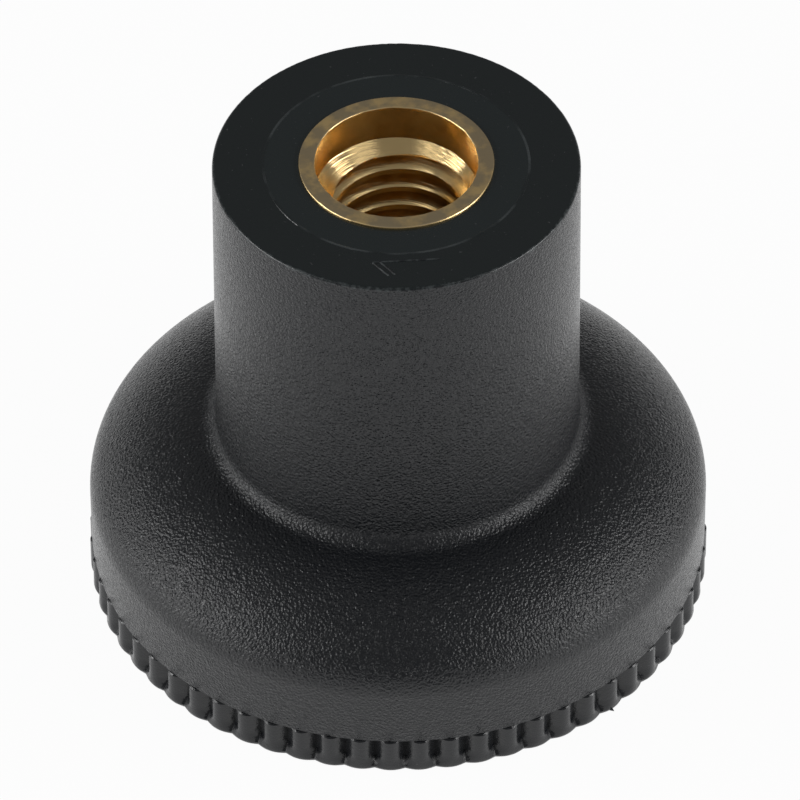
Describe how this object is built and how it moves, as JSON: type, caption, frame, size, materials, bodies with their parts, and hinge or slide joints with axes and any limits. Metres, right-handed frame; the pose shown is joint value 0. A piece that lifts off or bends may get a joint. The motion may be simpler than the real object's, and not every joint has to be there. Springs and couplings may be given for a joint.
{
  "type": "knurled clamping knob",
  "caption": "Round black clamping knob with a knurled foot, a domed head, a tall cylindrical hub and a blind threaded brass insert.",
  "frame": {"origin": "centre of the broad face that the knob stands on", "axes": "+Z along the knob's axis, from the broad face towards the hub's end"},
  "size_m": [0.033, 0.033, 0.0281],
  "materials": {
    "black_plastic": "fine spark-eroded grain, matt; hub end face smooth",
    "brass": "turned, bright in the bore, dull on the end face"
  },
  "bodies": {
    "root": {"knob_body": "black_plastic", "threaded_insert": "brass"}
  },
  "joints": []
}
